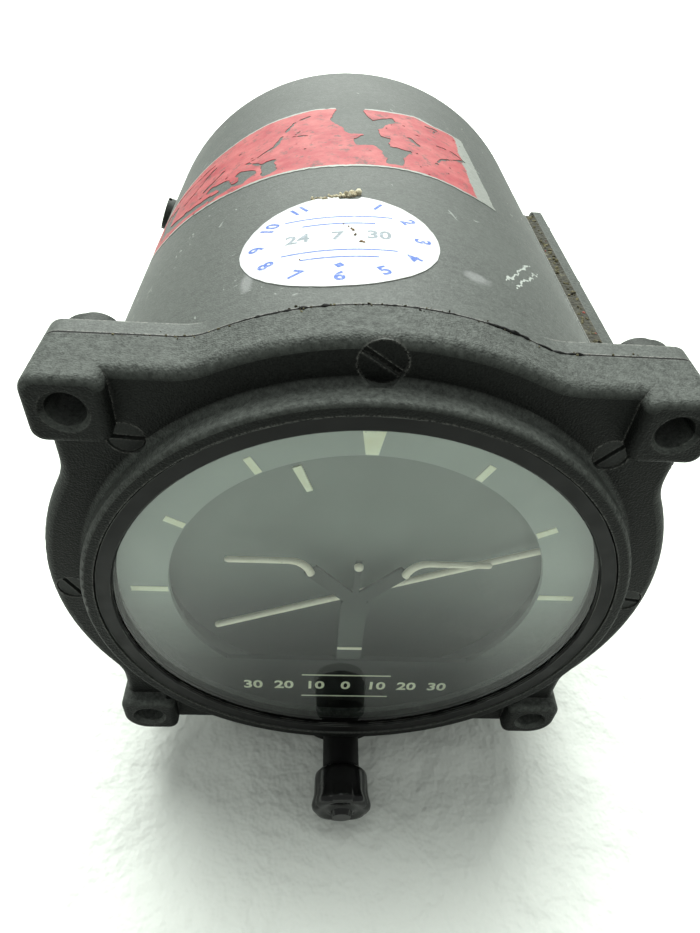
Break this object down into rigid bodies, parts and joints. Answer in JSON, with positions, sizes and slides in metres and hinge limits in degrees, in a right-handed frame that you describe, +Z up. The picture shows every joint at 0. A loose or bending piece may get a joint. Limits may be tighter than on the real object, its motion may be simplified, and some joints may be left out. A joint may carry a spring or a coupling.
{
  "type": "attitude gyro",
  "caption": "Panel mounted attitude gyro: round window over a horizon bar, bank pointer and miniature airplane, in a drum case with corner lugs, setting knob and gimballed rotor.",
  "frame": {"origin": "middle of the four lug holes, on the front faces of the lugs, which is the panel plane", "axes": "+X to the right as the dial is read, +Y into the case, +Z up; the dial faces -Y"},
  "size_m": [0.0849, 0.1279, 0.0854],
  "materials": {
    "casting_black": "black wrinkle enamel on an aluminium casting",
    "case_black": "dull black enamel on aluminium, scratched and rubbed",
    "side_cover_black": "dull black enamel on aluminium plate",
    "gasket_black": "aged black sealing compound",
    "gasket_brown": "aged brown cork and rubber, crumbling at the edge",
    "screw_black": "painted over steel screws and nuts with worn slots",
    "steel": "plated steel, dulled",
    "shaft_steel": "ground steel",
    "bearing_steel": "polished bearing steel",
    "retainer_black": "satin black",
    "glass": "flat instrument glass",
    "dial_grey": "matte dark grey instrument paint",
    "sky_dark": "matte dark grey instrument paint",
    "lume_cream": "aged cream luminous paint",
    "knob_black": "glossy black moulded plastic",
    "aluminium": "machined aluminium",
    "brass": "turned brass",
    "contact_gold": "gold flashed contacts",
    "insulator": "brown moulded phenolic",
    "winding": "varnished coils on laminations"
  },
  "bodies": {
    "case": {"front_casting": "casting_black", "face_screws": "screw_black", "face_plug": "screw_black", "cover_glass": "glass", "glass_gasket": "gasket_black", "glass_retainer": "retainer_black", "dial_mask": "dial_grey", "mask_clip": "steel", "bank_marks": "lume_cream", "knob_bush": "retainer_black", "flange_gasket": "gasket_black", "case_shell": "case_black", "lug_nuts": "screw_black", "left_plug": "screw_black", "side_gasket": "gasket_brown", "side_cover": "side_cover_black", "side_cover_screws": "screw_black", "rear_plate": "aluminium", "rear_plate_screws": "screw_black", "connector_shell": "aluminium", "connector_insert": "insulator", "connector_pins": "contact_gold", "connector_screws": "steel", "bulkhead": "aluminium", "bulkhead_screws": "steel", "roll_bearing_front": "bearing_steel", "roll_bearing_rear": "bearing_steel", "roll_pickoff_stator": "winding", "brush_block": "insulator", "brushes": "contact_gold"},
    "setting_knob": {"knob": "knob_black", "knob_set_screw": "steel", "knob_shaft": "shaft_steel"},
    "miniature_airplane": {"airplane_post": "dial_grey", "airplane_wings": "lume_cream", "airplane_dot": "lume_cream"},
    "roll_gimbal": {"roll_gimbal_frame": "aluminium", "roll_shaft": "shaft_steel", "roll_pickoff_rotor": "winding", "slip_rings": "brass", "sky_plate": "sky_dark", "sky_plate_screws": "sky_dark", "bank_pointer": "lume_cream", "balance_weight": "brass", "pitch_bearings": "bearing_steel", "pitch_pickoff_stator": "winding", "horizon_pivot": "shaft_steel"},
    "horizon": {"horizon_bar": "lume_cream", "horizon_arm": "aluminium", "horizon_counterweight": "brass"},
    "pitch_gimbal": {"rotor_housing_lower": "aluminium", "rotor_housing_upper": "aluminium", "housing_screws": "steel", "trunnions": "shaft_steel", "drive_pin": "shaft_steel", "pitch_pickoff_rotor": "winding", "motor_stator": "winding", "spin_bearings": "bearing_steel"},
    "rotor": {"gyro_wheel": "brass", "spin_shaft": "shaft_steel"}
  },
  "joints": [
    {"name": "roll", "type": "hinge", "parent": "case", "child": "roll_gimbal", "pos_m": [0, 0.03857, 0], "axis": [0, 1, 0], "continuous": true},
    {"name": "pitch", "type": "hinge", "parent": "roll_gimbal", "child": "pitch_gimbal", "pos_m": [0, 0.03857, 0], "axis": [0.9219, 0, 0.3875], "range_deg": [-50, 50]},
    {"name": "spin", "type": "hinge", "parent": "pitch_gimbal", "child": "rotor", "pos_m": [0, 0.03857, 0], "axis": [-0.3875, 0, 0.9219], "continuous": true},
    {"name": "horizon_swing", "type": "hinge", "parent": "roll_gimbal", "child": "horizon", "pos_m": [0, 0.0595, 0], "axis": [0.9219, 0, 0.3875], "range_deg": [-9.3, 9.3]},
    {"name": "knob_turn", "type": "hinge", "parent": "case", "child": "setting_knob", "pos_m": [0, 0, -0.0384], "axis": [0, -1, 0], "range_deg": [-45, 45]},
    {"name": "airplane_lift", "type": "slide", "parent": "case", "child": "miniature_airplane", "axis": [0, 0, 1], "range_m": [-0.00156, 0.00156]}
  ],
  "couplings": [
    {"joint": "horizon_swing", "follows": "pitch", "ratio": 0.185},
    {"joint": "airplane_lift", "follows": "knob_turn", "m_per_rad": 0.0019807}
  ]
}
